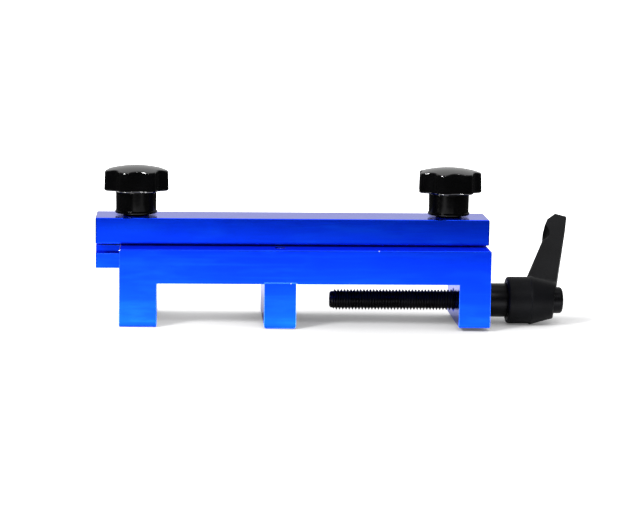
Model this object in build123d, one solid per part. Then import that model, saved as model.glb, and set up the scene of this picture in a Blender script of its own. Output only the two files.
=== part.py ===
from build123d import *
import math
import os

# Sliding clamp fixture: an aluminium bridge that drops over a rail, a T-shaped slide along its top
# that carries a clamp bar pulled down by two lobed knobs, and an indexing clamp lever that locks
# the bridge to the rail.
# Millimetres. Origin: centre of the jaw block's foot. +X towards the lever, -Y front, +Z up.

# ---------------------------------------------------------------- shared dimensions
base_length = 140.0
base_depth = 38.0
base_left_x = -60.4            # left face, measured from the jaw block's centre
feet_z = 0.3                   # the jaw block reaches this far below the two legs
base_height = 29.36            # feet to top
beam_thickness = 12.92
left_leg_width = 14.0
right_leg_width = 11.9
edge_break = 0.3               # broken edges of the machined blanks

jaw_block_width = 12.0
jaw_key_depth = 0.5            # the block's top sits this deep in a slot across the beam
jaw_screw_y = 12.0             # M4 screws through the jaw block, front and rear
jaw_screw_r = 1.95
jaw_screw_head_r = 3.5
jaw_screw_head_h = 4.0
jaw_screw_bottom_z = 0.4

slide_left_x = -69.55
slide_length = 149.35
slide_bottom_z = 20.8
slide_neck_z = 26.5            # ledge between the foot and the neck
slide_top_z = 29.2
slide_neck_half = 4.0          # half widths
slide_foot_half = 7.3

bar_depth = 20.0
bar_height = 9.9
bar_gap = 0.8                  # open gap between bar and base
spring_pocket_depth = 5.0

washer_t = 0.9
stud_r = 2.5                   # M5 x 0.8
stud_embed = 8.0               # length of stud inside its knob

# side: (x, one hollow's angle in degrees from the front towards +X)
knob_places = {"left": (-54.4, 3.9), "right": (65.1, 7.3)}

screw_z = 8.0                  # clamp screw's axis
thread_major_r = 3.97          # M8 x 1.25
stud_end_x = 88.5              # clamp screw's end inside the lever insert
collar_length = 8.5            # open length between base and hub
collar_r = 6.5

cut_over = 1.0                 # cutters run this far past the surface they open

base_right_x = base_left_x + base_length
right_leg_inner_x = base_right_x - right_leg_width
base_top_z = feet_z + base_height
beam_under_z = base_top_z - beam_thickness
bar_under_z = base_top_z + bar_gap
bar_top_z = bar_under_z + bar_height
knob_bottom_z = bar_top_z + washer_t
stud_top_z = knob_bottom_z + stud_embed
hub_start_x = base_right_x + collar_length


# ---------------------------------------------------------------- shape helpers
def box(x0, x1, y0, y1, z0, z1):
    return Pos((x0 + x1) / 2, (y0 + y1) / 2, (z0 + z1) / 2) * Box(x1 - x0, y1 - y0, z1 - z0)


def prism_x(points_yz, x0, x1):
    """A closed outline in Y and Z, pulled along X."""
    face = Face(Wire.make_polygon([Vector(x0, y, z) for y, z in points_yz], close=True))
    return Part() + Solid.extrude(face, Vector(x1 - x0, 0, 0))


def rod_z(x, y, z0, z1, radius):
    return Pos(x, y, (z0 + z1) / 2) * Cylinder(radius, z1 - z0)


def rod_x(x0, x1, radius):
    """A cylinder about the clamp screw's axis."""
    return Pos((x0 + x1) / 2, 0, screw_z) * Rot(0, 90, 0) * Cylinder(radius, x1 - x0)


def turned_x(profile):
    """A lathe profile of (x, radius) about the clamp screw's axis."""
    points = [Vector(x, 0, screw_z + radius) for x, radius in profile]
    face = Face(Wire.make_polygon(points, close=True))
    return Part() + Solid.revolve(face, 360, Axis((0, 0, screw_z), (1, 0, 0)))


def turned_z(profile, x, y):
    """A lathe profile of (radius, z) about the vertical through x, y."""
    points = [Vector(x + radius, y, z) for radius, z in profile]
    face = Face(Wire.make_polygon(points, close=True))
    return Part() + Solid.revolve(face, 360, Axis((x, y, 0), (0, 0, 1)))


def straight_edges_at(shape, z):
    return [e for e in shape.edges()
            if e.geom_type == GeomType.LINE and abs(e.center().Z - z) < 0.01]


def tee_outline(foot_half, neck_half, bottom_z, ledge_z, top_z):
    """An upside-down T in Y and Z, wide foot below and narrow neck above."""
    return [(-foot_half, bottom_z), (foot_half, bottom_z), (foot_half, ledge_z),
            (neck_half, ledge_z), (neck_half, top_z), (-neck_half, top_z),
            (-neck_half, ledge_z), (-foot_half, ledge_z)]


# ---------------------------------------------------------------- base: beam, two legs, T-slot
slide_side_gap = 0.09
slide_floor_gap = 0.2
slide_ledge_gap = 0.05
leg_bore_r = 4.05
countersink = 0.6


def base_body():
    base = box(base_left_x, base_right_x, -base_depth / 2, base_depth / 2, feet_z, base_top_z)
    base -= box(base_left_x + left_leg_width, right_leg_inner_x,
                -base_depth, base_depth, -5, beam_under_z)
    # slot for the jaw block's key
    base -= box(-jaw_block_width / 2, jaw_block_width / 2, -base_depth, base_depth,
                beam_under_z - cut_over, beam_under_z + jaw_key_depth)
    top_and_feet = straight_edges_at(base, base_top_z) + straight_edges_at(base, feet_z)
    base = chamfer(top_and_feet, edge_break)
    groove = tee_outline(slide_foot_half + slide_side_gap, slide_neck_half + slide_side_gap,
                         slide_bottom_z - slide_floor_gap, slide_neck_z + slide_ledge_gap,
                         base_top_z + 2)
    base -= prism_x(groove, base_left_x - cut_over, base_right_x + cut_over)
    base -= rod_x(right_leg_inner_x - cut_over, base_right_x + cut_over, leg_bore_r)
    # countersink where the screw enters the leg's inner face
    sink_start_x = right_leg_inner_x - 0.01
    sink_end_x = right_leg_inner_x + countersink
    base -= turned_x([(sink_start_x, 0), (sink_start_x, leg_bore_r + countersink),
                      (sink_end_x, leg_bore_r), (sink_end_x, 0)])
    for y in (-jaw_screw_y, jaw_screw_y):
        base -= rod_z(0, y, beam_under_z - cut_over, base_top_z + cut_over, jaw_screw_r)
    return base


# ---------------------------------------------------------------- jaw block and its screws
jaw_key_gap = 0.08             # clearance each side of the key
jaw_foot_round = 0.8
jaw_hole_r = 2.25
jaw_counterbore_gap = 0.35     # clearance round the screw head
jaw_screw_head_bevel = 0.25
jaw_screw_tip_bevel = 0.45
jaw_screw_top_z = base_top_z - 0.3
jaw_socket_r = 1.5             # centre to flat
jaw_socket_depth = 2.2


def jaw_block():
    """Middle block under the beam, keyed into its slot."""
    half_width = jaw_block_width / 2
    key_half = half_width - jaw_key_gap
    block = box(-half_width, half_width, -base_depth / 2, base_depth / 2, 0, beam_under_z)
    block += box(-key_half, key_half, -base_depth / 2, base_depth / 2,
                 beam_under_z - 0.5, beam_under_z + jaw_key_depth)
    bottom_long = [e for e in straight_edges_at(block, 0) if abs(e.tangent_at(0).Y) > 0.99]
    block = fillet(bottom_long, jaw_foot_round)
    for y in (-jaw_screw_y, jaw_screw_y):
        block -= rod_z(0, y, -cut_over, beam_under_z + cut_over, jaw_hole_r)
        block -= rod_z(0, y, -cut_over, jaw_screw_bottom_z + jaw_screw_head_h,
                       jaw_screw_head_r + jaw_counterbore_gap)
    return block


def jaw_block_screw(y):
    """M4 socket head cap screw standing head down, its end just under the base's top."""
    z0 = jaw_screw_bottom_z
    shank_z = z0 + jaw_screw_head_h
    head = turned_z([(0, z0), (jaw_screw_head_r - jaw_screw_head_bevel, z0),
                     (jaw_screw_head_r, z0 + jaw_screw_head_bevel),
                     (jaw_screw_head_r, shank_z), (0, shank_z)], 0, y)
    shank = turned_z([(0, shank_z), (jaw_screw_r, shank_z),
                      (jaw_screw_r, jaw_screw_top_z - jaw_screw_tip_bevel),
                      (jaw_screw_r - jaw_screw_tip_bevel, jaw_screw_top_z),
                      (0, jaw_screw_top_z)], 0, y)
    hexagon = RegularPolygon(jaw_socket_r, 6, major_radius=False)
    return head + shank - Pos(0, y, z0) * extrude(hexagon, jaw_socket_depth)


# ---------------------------------------------------------------- T-slide and clamp bar
slide_stud_gap = 0.06          # radial clearance round the studs
bar_stud_gap = 0.25
spring_pocket_r = 4.05


def tee_slide():
    outline = tee_outline(slide_foot_half, slide_neck_half,
                          slide_bottom_z, slide_neck_z, slide_top_z)
    slide = prism_x(outline, slide_left_x, slide_left_x + slide_length)
    for x, _ in knob_places.values():
        slide -= rod_z(x, 0, slide_bottom_z - cut_over, slide_top_z + cut_over,
                       stud_r + slide_stud_gap)
    return slide


def clamp_bar():
    """A bar as long as the slide, bored for the studs and pocketed below for the springs."""
    bar = box(slide_left_x, slide_left_x + slide_length,
              -bar_depth / 2, bar_depth / 2, bar_under_z, bar_top_z)
    bar = chamfer(bar.edges(), edge_break)
    for x, _ in knob_places.values():
        bar -= rod_z(x, 0, bar_under_z - cut_over, bar_top_z + cut_over, stud_r + bar_stud_gap)
        bar -= rod_z(x, 0, bar_under_z - cut_over, bar_under_z + spring_pocket_depth,
                     spring_pocket_r)
    return bar


# ---------------------------------------------------------------- knobs, their studs and washers
knob_head_r = 12.45            # over the lobes, at the lower rim
knob_lobes = 7
knob_lobe_r = 3.3              # round end of each lobe
knob_hollow_r = 5.0            # hollow between two lobes
knob_neck_r = 7.65
knob_neck_flare = 0.07         # radius gained up the neck
knob_foot_r = 8.0              # low flange at the neck's end
knob_foot_bevel = 0.3
knob_neck_h = 8.6
knob_head_h = 7.7              # lower rim to upper rim
knob_dome_h = 1.7
knob_dome_inset = 0.6          # the dome starts this far inside the upper rim
knob_dome_steps = 8
knob_draft = 1.8               # degrees
stud_bottom_z = 21.6
stud_bevel = 0.5
washer_r = 5.0
washer_bore_gap = 0.1
washer_bevel = 0.15


def knob_outline(z, drawn_in):
    """Lobes and hollows tangent to each other, one hollow on +X, every side moved in."""
    pitch = 2 * math.pi / knob_lobes
    lobe_at = knob_head_r - knob_lobe_r
    lobe_x, lobe_y = lobe_at * math.cos(pitch / 2), lobe_at * math.sin(pitch / 2)
    centre_gap = knob_lobe_r + knob_hollow_r
    hollow_x = lobe_x + math.sqrt(centre_gap ** 2 - lobe_y ** 2)
    # point where lobe and hollow meet, on the line between their centres
    share = (knob_lobe_r - drawn_in) / centre_gap
    meet_x, meet_y = lobe_x + (hollow_x - lobe_x) * share, lobe_y - lobe_y * share
    hollow_floor = hollow_x - knob_hollow_r - drawn_in
    lobe_tip = knob_head_r - drawn_in

    def turned(x, y, angle):
        return Vector(x * math.cos(angle) - y * math.sin(angle),
                      x * math.sin(angle) + y * math.cos(angle), z)

    edges = []
    for i in range(knob_lobes):
        angle = i * pitch
        meet = turned(meet_x, meet_y, angle)
        edges.append(Edge.make_three_point_arc(
            turned(meet_x, -meet_y, angle), turned(hollow_floor, 0, angle), meet))
        edges.append(Edge.make_three_point_arc(
            meet, turned(lobe_tip, 0, angle + pitch / 2), turned(meet_x, -meet_y, angle + pitch)))
    return Wire(edges)


def knob(x, turn):
    """A domed, lobed head on a long neck."""
    rim_z = knob_bottom_z + knob_neck_h
    top_z = rim_z + knob_head_h
    slope = math.tan(math.radians(knob_draft))
    top_r = knob_head_r - slope * knob_head_h
    dome_r = top_r - knob_dome_inset
    sphere_r = (dome_r ** 2 + knob_dome_h ** 2) / (2 * knob_dome_h)
    dome = []
    for i in range(knob_dome_steps + 1):
        radius = dome_r * (1 - i / knob_dome_steps)
        dome.append((radius,
                     top_z + knob_dome_h - sphere_r + math.sqrt(sphere_r ** 2 - radius ** 2)))
    # the turned blank is a touch wider than the lobes, its rims rounded in short steps
    wide = knob_head_r + 0.02
    head = turned_z([(0, rim_z), (wide - 0.55, rim_z), (wide - 0.16, rim_z + 0.16),
                     (wide, rim_z + 0.55), (wide, top_z - 0.75), (top_r + 0.02, top_z - 0.6),
                     (top_r - 0.17, top_z - 0.17)] + dome, 0, 0)
    # the drafted lobes overshoot the blank by 1 at both ends
    lobes_h = knob_head_h + knob_dome_h + 2
    lobes = Part() + Solid.make_loft([knob_outline(rim_z - 1, -slope),
                                      knob_outline(rim_z - 1 + lobes_h, slope * (lobes_h - 1))],
                                     True)
    head = Pos(x, 0, 0) * Rot(0, 0, turn - 90) * (head & lobes)
    z0 = knob_bottom_z
    neck_top_z = rim_z + 0.5
    neck = turned_z([(0, z0), (knob_foot_r - knob_foot_bevel, z0),
                     (knob_foot_r, z0 + knob_foot_bevel), (knob_foot_r, z0 + 0.7),
                     (knob_neck_r, z0 + 0.95), (knob_neck_r + knob_neck_flare, neck_top_z),
                     (0, neck_top_z)], x, 0)
    return head + neck - rod_z(x, 0, z0 - cut_over, stud_top_z, stud_r)


def knob_stud(x):
    return turned_z([(0, stud_bottom_z), (stud_r - stud_bevel, stud_bottom_z),
                     (stud_r, stud_bottom_z + stud_bevel), (stud_r, stud_top_z),
                     (0, stud_top_z)], x, 0)


def washer(x):
    bore_r = stud_r + washer_bore_gap
    return turned_z([(bore_r, bar_top_z), (washer_r - washer_bevel, bar_top_z),
                     (washer_r, bar_top_z + washer_bevel),
                     (washer_r, knob_bottom_z - washer_bevel),
                     (washer_r - washer_bevel, knob_bottom_z), (bore_r, knob_bottom_z)], x, 0)


# ---------------------------------------------------------------- coil springs
spring_end_gap = 0.02          # clearance at each end of a spring


def coil(mean_r, wire, turns, length):
    """A coil along +Z from 0 to length, its ends cut flat a tenth of the wire deep."""
    rise = length - 0.2 * wire
    helix = Edge.make_helix(pitch=rise / turns, height=rise, radius=mean_r)
    section = Plane(origin=helix @ 0, z_dir=helix % 0) * Circle(wire / 2)
    body = Pos(0, 0, 0.1 * wire) * sweep(section, path=helix, is_frenet=True)
    return body & (Pos(0, 0, length / 2) * Cylinder(mean_r + wire, length))


def lift_spring(x):
    """Between the slide's top and the bar's pocket."""
    length = bar_under_z + spring_pocket_depth - slide_top_z - 2 * spring_end_gap
    return Pos(x, 0, slide_top_z + spring_end_gap) * coil(
        mean_r=3.3, wire=0.8, turns=4.4, length=length)


# ---------------------------------------------------------------- clamp screw
thread_minor_r = 3.25
thread_pitch = 1.25
thread_crest = thread_pitch * 0.16
thread_root = thread_pitch * 0.24
thread_ramp = (thread_pitch - thread_crest - thread_root) / 2
screw_tip_x = 19.7
screw_tip_r = 2.75
tip_drilling_r = 0.9           # centre drilling in the tip
tip_drilling_depth = 0.9
thread_start_x = screw_tip_x + 1.3


def clamp_screw():
    """M8 stud, its thread drawn as separate rings."""
    profile = [(screw_tip_x, tip_drilling_r), (screw_tip_x, screw_tip_r),
               (screw_tip_x + 0.5, thread_minor_r), (thread_start_x, thread_minor_r)]
    x = thread_start_x
    while x + thread_pitch < stud_end_x - 0.3:
        crest_end_x = x + thread_ramp + thread_crest
        profile += [(x + thread_ramp, thread_major_r), (crest_end_x, thread_major_r),
                    (crest_end_x + thread_ramp, thread_minor_r),
                    (x + thread_pitch, thread_minor_r)]
        x += thread_pitch
    profile += [(stud_end_x, thread_minor_r), (stud_end_x, 0), (thread_start_x, 0),
                (screw_tip_x + tip_drilling_depth, tip_drilling_r)]
    return turned_x(profile)


# ---------------------------------------------------------------- lever insert
insert_end_x = 96.5
insert_bore_r = 2.5            # for the retaining screw
tooth_count = 24
tooth_tip_r = 6.3
tooth_root_r = 5.7
tooth_length = 3.2
tooth_gap = 0.06               # radial clearance between insert and lever teeth
teeth_start_x = hub_start_x + 1.2


def toothed(x0, x1, root_r, tip_r, land):
    """A ring of straight teeth. land is the tooth's width at mid height, in pitches."""
    pitch = 2 * math.pi / tooth_count
    # corners of one tooth: (offset in pitches, radius)
    corners = [(-land / 2 - 0.12, root_r), (-land / 2 + 0.10, tip_r),
               (land / 2 - 0.10, tip_r), (land / 2 + 0.12, root_r)]
    points = []
    for i in range(tooth_count):
        for offset, radius in corners:
            angle = (i + offset) * pitch
            points.append((radius * math.sin(angle), screw_z + radius * math.cos(angle)))
    return prism_x(points, x0, x1)


def lever_insert():
    """Collar, toothed ring and narrower end, bored from both sides."""
    insert = turned_x([
        (base_right_x, 0), (base_right_x, collar_r - 0.3), (base_right_x + 0.3, collar_r),
        (teeth_start_x - 0.05, collar_r), (teeth_start_x, tooth_root_r - 0.2),
        (insert_end_x - 0.4, tooth_root_r - 0.4), (insert_end_x, tooth_root_r - 0.8),
        (insert_end_x, 0)])
    insert += toothed(teeth_start_x - 0.1, teeth_start_x + tooth_length,
                      tooth_root_r - tooth_gap, tooth_tip_r - tooth_gap, land=0.44)
    insert -= rod_x(base_right_x - cut_over, stud_end_x, thread_major_r)
    insert -= rod_x(stud_end_x + 1.0, insert_end_x + cut_over, insert_bore_r)
    return insert


# ---------------------------------------------------------------- lever handle
hub_r = 9.05
hub_ridge_r = 9.35
hub_ridge_x = 97.1
hub_cone_x = hub_ridge_x + 0.6
hub_cone_r = hub_ridge_r - 0.03
hub_cone = 0.27                # radius lost per mm of length
hub_blank_end_x = 110.0
web_x0, web_x1 = 97.0, 99.0    # web the retaining screw passes through
web_hole_r = 2.85
head_pocket_r = 5.3
collar_gap = 0.25
face_x = 107.18                # where the lever's outer face crosses the screw's axis
face_slope = 0.2215            # rise of that face per mm along the arm
arm_angle = math.radians(68.0)  # arm's direction, from vertical towards +Y
arm_root_t = 10.4
arm_tip_t = 7.6
arm_taper_length = 62
arm_chamfer = 0.9

# local x runs along the arm, local y is +X
arm_plane = Plane(origin=(0, 0, screw_z), x_dir=(0, math.sin(arm_angle), math.cos(arm_angle)),
                  z_dir=(0, math.cos(arm_angle), -math.sin(arm_angle)))

# arm's side outline, counterclockwise: (distance along the arm, x)
arm_outline = [
    (0, 93.7), (38.5, 107.0), (43.2, 108.1), (49.2, 109.0),
    (57.4, 111.8), (62.2, 115.6), (59.45, 120.35), (0, face_x),
]


def inset(points, distance):
    """A counterclockwise outline moved inward by distance on every side."""
    sides = []
    for (x0, y0), (x1, y1) in zip(points, points[1:] + points[:1]):
        length = math.hypot(x1 - x0, y1 - y0)
        dir_x, dir_y = (x1 - x0) / length, (y1 - y0) / length
        sides.append((x0 - dir_y * distance, y0 + dir_x * distance, dir_x, dir_y))
    # each new corner is where a side crosses the one before it
    corners = []
    for i, (next_x, next_y, next_dx, next_dy) in enumerate(sides):
        x, y, dx, dy = sides[i - 1]
        along = (((next_x - x) * next_dy - (next_y - y) * next_dx)
                 / (dx * next_dy - dy * next_dx))
        corners.append((x + dx * along, y + dy * along))
    return corners


def arm_layer(points, side, depth):
    """The outline on one side of arm_plane, depth below the arm's tapering flank."""
    taper = (arm_tip_t - arm_root_t) / 2 / arm_taper_length
    return [arm_plane.from_local_coords(
        Vector(along, x, side * (arm_root_t / 2 + taper * along - depth)))
        for along, x in points]


def lever_arm():
    """A tapering plate with chamfered edges, closed from flat faces."""
    slim = inset(arm_outline, arm_chamfer)
    rings = [arm_layer(slim, -1, 0), arm_layer(arm_outline, -1, arm_chamfer),
             arm_layer(arm_outline, 1, arm_chamfer), arm_layer(slim, 1, 0)]
    faces = [Face(Wire.make_polygon(ring, close=True)) for ring in (rings[0], rings[-1])]
    for low, high in zip(rings, rings[1:]):
        for i in range(len(low)):
            j = (i + 1) % len(low)
            faces.append(Face(Wire.make_polygon([low[i], low[j], high[j], high[i]], close=True)))
    return Part() + Solid(Shell(faces))


def beyond_outer_face():
    """Everything past the lever's sloping outer face."""
    start, end, far_x, half_width = -40, 80, face_x + 60, 30
    outline = [(start, face_x + face_slope * start), (end, face_x + face_slope * end),
               (end, far_x), (start, far_x)]
    wire = Wire.make_polygon([arm_plane.from_local_coords(Vector(along, x, -half_width))
                              for along, x in outline], close=True)
    return Part() + Solid.extrude(Face(wire), arm_plane.z_dir * 2 * half_width)


def lever_handle():
    """Hub and inclined arm, cut to one outer face and bored for the insert and its screw."""
    hub = turned_x([
        (hub_start_x, 0), (hub_start_x, hub_r - 0.6), (hub_start_x + 0.2, hub_r - 0.2),
        (hub_start_x + 0.6, hub_r), (hub_ridge_x - 0.3, hub_r), (hub_ridge_x, hub_ridge_r),
        (hub_cone_x, hub_cone_r),
        (hub_blank_end_x, hub_cone_r - hub_cone * (hub_blank_end_x - hub_cone_x)),
        (hub_blank_end_x, 0)])
    handle = hub + lever_arm()
    handle -= beyond_outer_face()
    handle -= rod_x(hub_start_x - cut_over, teeth_start_x, collar_r + collar_gap)
    handle -= toothed(teeth_start_x - 0.01, teeth_start_x + tooth_length + 0.2,
                      tooth_root_r, tooth_tip_r, land=0.50)
    handle -= rod_x(teeth_start_x + tooth_length, web_x0, tooth_root_r)
    handle -= rod_x(web_x0 - 0.5, web_x1 + 0.5, web_hole_r)
    handle -= rod_x(web_x1, 115, head_pocket_r)
    return handle


# ---------------------------------------------------------------- lever's screw and spring
retainer_tip_x = 90.2
retainer_r = 2.49
head_x = 105.0
head_r = 5.1
head_end_x = 110.2
dome_r = 4.5
dome_h = 0.9
retainer_socket_r = 2.0        # centre to flat
retainer_socket_depth = 2.9


def lever_retaining_screw():
    dome = []
    for degrees in range(90, -1, -10):
        angle = math.radians(degrees)
        dome.append((head_end_x - dome_h + dome_h * math.cos(angle) ** 0.7,
                     dome_r * math.sin(angle)))
    screw = turned_x([(retainer_tip_x, 0), (retainer_tip_x, 2.1),
                      (retainer_tip_x + 0.4, retainer_r), (head_x, retainer_r),
                      (head_x, head_r), (head_end_x - 1.5, head_r),
                      (head_end_x - 1.0, head_r - 0.25)] + dome)
    socket_plane = Plane(origin=(head_end_x + 0.1, 0, screw_z), z_dir=(-1, 0, 0))
    hexagon = socket_plane * RegularPolygon(retainer_socket_r, 6, major_radius=False)
    return screw - extrude(hexagon, retainer_socket_depth)


def lever_spring():
    """Between the handle's web and the retaining screw's head."""
    length = head_x - web_x1 - 2 * spring_end_gap
    return Pos(web_x1 + spring_end_gap, 0, screw_z) * Rot(0, 90, 0) * coil(
        mean_r=4.0, wire=0.7, turns=3.6, length=length)


# ---------------------------------------------------------------- output
parts = {
    "base_body": base_body(),
    "jaw_block": jaw_block(),
    "jaw_block_screw_front": jaw_block_screw(-jaw_screw_y),
    "jaw_block_screw_rear": jaw_block_screw(jaw_screw_y),
    "tee_slide": tee_slide(),
    "clamp_bar": clamp_bar(),
    "clamp_screw": clamp_screw(),
    "lever_insert": lever_insert(),
    "lever_handle": lever_handle(),
    "lever_retaining_screw": lever_retaining_screw(),
    "lever_spring": lever_spring(),
}
for side, (x, turn) in knob_places.items():
    parts["knob_" + side] = knob(x, turn)
    parts["knob_stud_" + side] = knob_stud(x)
    parts["washer_" + side] = washer(x)
    parts["lift_spring_" + side] = lift_spring(x)

os.makedirs("parts", exist_ok=True)
for name, shape in parts.items():
    solids = shape.solids()
    out = solids[0] if len(solids) == 1 else Compound(children=list(solids))
    out.label = name
    export_step(out, os.path.join("parts", name + ".step"))
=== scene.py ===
# A blue anodised clamping fixture: base, jaw block, slide and clamp bar, two lobed knobs on
# upright studs, and a clamp screw along X that carries a black lever handle at its +X end.
# +X is right, -Y is the front and +Z is up. Pieces are drawn in mm and built in metres.
import itertools
import math
from collections import namedtuple

import bmesh
import bpy
import numpy as np
from mathutils import Matrix, Vector


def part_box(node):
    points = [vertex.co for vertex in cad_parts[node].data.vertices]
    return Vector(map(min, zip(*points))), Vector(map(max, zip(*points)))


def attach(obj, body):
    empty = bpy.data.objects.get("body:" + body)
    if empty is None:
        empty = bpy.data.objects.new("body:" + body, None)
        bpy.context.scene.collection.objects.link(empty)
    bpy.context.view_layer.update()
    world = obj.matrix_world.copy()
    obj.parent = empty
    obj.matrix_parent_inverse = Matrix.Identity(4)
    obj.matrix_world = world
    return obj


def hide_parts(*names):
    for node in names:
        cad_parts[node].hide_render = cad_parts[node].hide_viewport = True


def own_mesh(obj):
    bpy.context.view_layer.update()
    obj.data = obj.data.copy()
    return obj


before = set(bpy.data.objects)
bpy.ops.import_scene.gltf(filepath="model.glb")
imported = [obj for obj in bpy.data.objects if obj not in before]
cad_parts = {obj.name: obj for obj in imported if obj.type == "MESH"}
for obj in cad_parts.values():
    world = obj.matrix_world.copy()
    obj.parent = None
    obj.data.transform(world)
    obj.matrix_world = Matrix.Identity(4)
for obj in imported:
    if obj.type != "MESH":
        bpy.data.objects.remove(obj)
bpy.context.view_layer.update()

MM = 0.001
SIDES = ("left", "right")

Point = namedtuple("Point", "x y z")
Box = namedtuple("Box", "lo hi centre size")


def box_mm(node):
    """The bounding box of a CAD node, in mm."""
    lo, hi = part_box(node)
    pairs = list(zip(lo, hi))
    return Box(Point(*(a / MM for a in lo)), Point(*(b / MM for b in hi)),
               Point(*((a + b) / 2 / MM for a, b in pairs)), Point(*((b - a) / MM for a, b in pairs)))


SCREW = box_mm("clamp_screw")
AXIS_Y, AXIS_Z = SCREW.centre.y, SCREW.centre.z


# ---------------------------------------------------------------- mesh helpers
def add_object(name, data):
    ob = bpy.data.objects.new(name, data)
    bpy.context.scene.collection.objects.link(ob)
    return ob


def shade(mesh, sharp_angle):
    mesh.polygons.foreach_set("use_smooth", [True] * len(mesh.polygons))
    if sharp_angle is not None:
        mesh.set_sharp_from_angle(angle=math.radians(sharp_angle))


def make_object(name, verts_mm, faces, sharp_angle=None):
    """A smooth object with doubles merged and normals outward; edges over sharp_angle are sharp."""
    mesh = bpy.data.meshes.new(name)
    mesh.from_pydata([tuple(float(c) * MM for c in v) for v in verts_mm], [],
                     [tuple(int(i) for i in f) for f in faces])
    mesh.validate()
    mesh.update()
    shade(mesh, sharp_angle)
    ob = add_object(name, mesh)
    bm = bmesh.new()
    bm.from_mesh(mesh)
    bmesh.ops.remove_doubles(bm, verts=bm.verts, dist=1e-7)
    bmesh.ops.recalc_face_normals(bm, faces=bm.faces)
    bm.to_mesh(mesh)
    bm.free()
    return ob


def boolean(ob, cutters, operation, name, sharp_angle):
    """A new object from ob and the cutters, which are all removed."""
    for i, cutter in enumerate(cutters):
        modifier = ob.modifiers.new(f"cut{i}", "BOOLEAN")
        modifier.operation = operation
        modifier.solver = "EXACT"
        modifier.object = cutter
    bpy.context.view_layer.update()
    depsgraph = bpy.context.evaluated_depsgraph_get()
    mesh = bpy.data.meshes.new_from_object(ob.evaluated_get(depsgraph), depsgraph=depsgraph)
    mesh.name = name
    shade(mesh, sharp_angle)
    result = add_object(name, mesh)
    for used in (ob, *cutters):
        used_mesh = used.data
        bpy.data.objects.remove(used)
        bpy.data.meshes.remove(used_mesh)
    return result


def rings_mesh(rings, first_pole=None, last_pole=None):
    """Verts and faces from closed rings of equal point counts; an end without a pole is open."""
    n = len(rings[0])
    verts = [p for ring in rings for p in ring]
    faces = []
    for j in range(len(rings) - 1):
        a, b = j * n, (j + 1) * n
        for k in range(n):
            k2 = (k + 1) % n
            faces.append((a + k, a + k2, b + k2, b + k))
    if first_pole is not None:
        pole = len(verts)
        verts.append(first_pole)
        faces += [(pole, (k + 1) % n, k) for k in range(n)]
    if last_pole is not None:
        pole = len(verts)
        a = (len(rings) - 1) * n
        verts.append(last_pole)
        faces += [(pole, a + k, a + (k + 1) % n) for k in range(n)]
    return verts, faces


def on_axis(at, along, x, y, h):
    """The point x, y across and h along an axis through at, parallel to Z or X."""
    if along == "z":
        return (at[0] + x, at[1] + y, at[2] + h)
    return (at[0] + h, at[1] + x, at[2] + y)


def circle_angles(n):
    return [2 * math.pi * k / n for k in range(n)]


def lathe(profile, along, at, n=96):
    """Verts and faces of a (radius, height) profile turned about an axis; radius 0 is a pole."""
    poles = [None, None]
    body = list(profile)
    for i in (0, -1):
        if body[i][0] < 1e-6:
            poles[i] = on_axis(at, along, 0, 0, body.pop(i)[1])
    rings = [[on_axis(at, along, r * math.cos(a), r * math.sin(a), h) for a in circle_angles(n)]
             for r, h in body]
    return rings_mesh(rings, *poles)


def arc(centre_r, centre_h, radius, start, stop, steps):
    """Points (radius, height) on an arc, in degrees from +radius towards +height."""
    angles = [math.radians(start + (stop - start) * i / steps) for i in range(steps + 1)]
    return [(centre_r + radius * math.cos(a), centre_h + radius * math.sin(a)) for a in angles]


# ---------------------------------------------------------------- node helpers
FADE_OUT = (1.0, 0.0)


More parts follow.
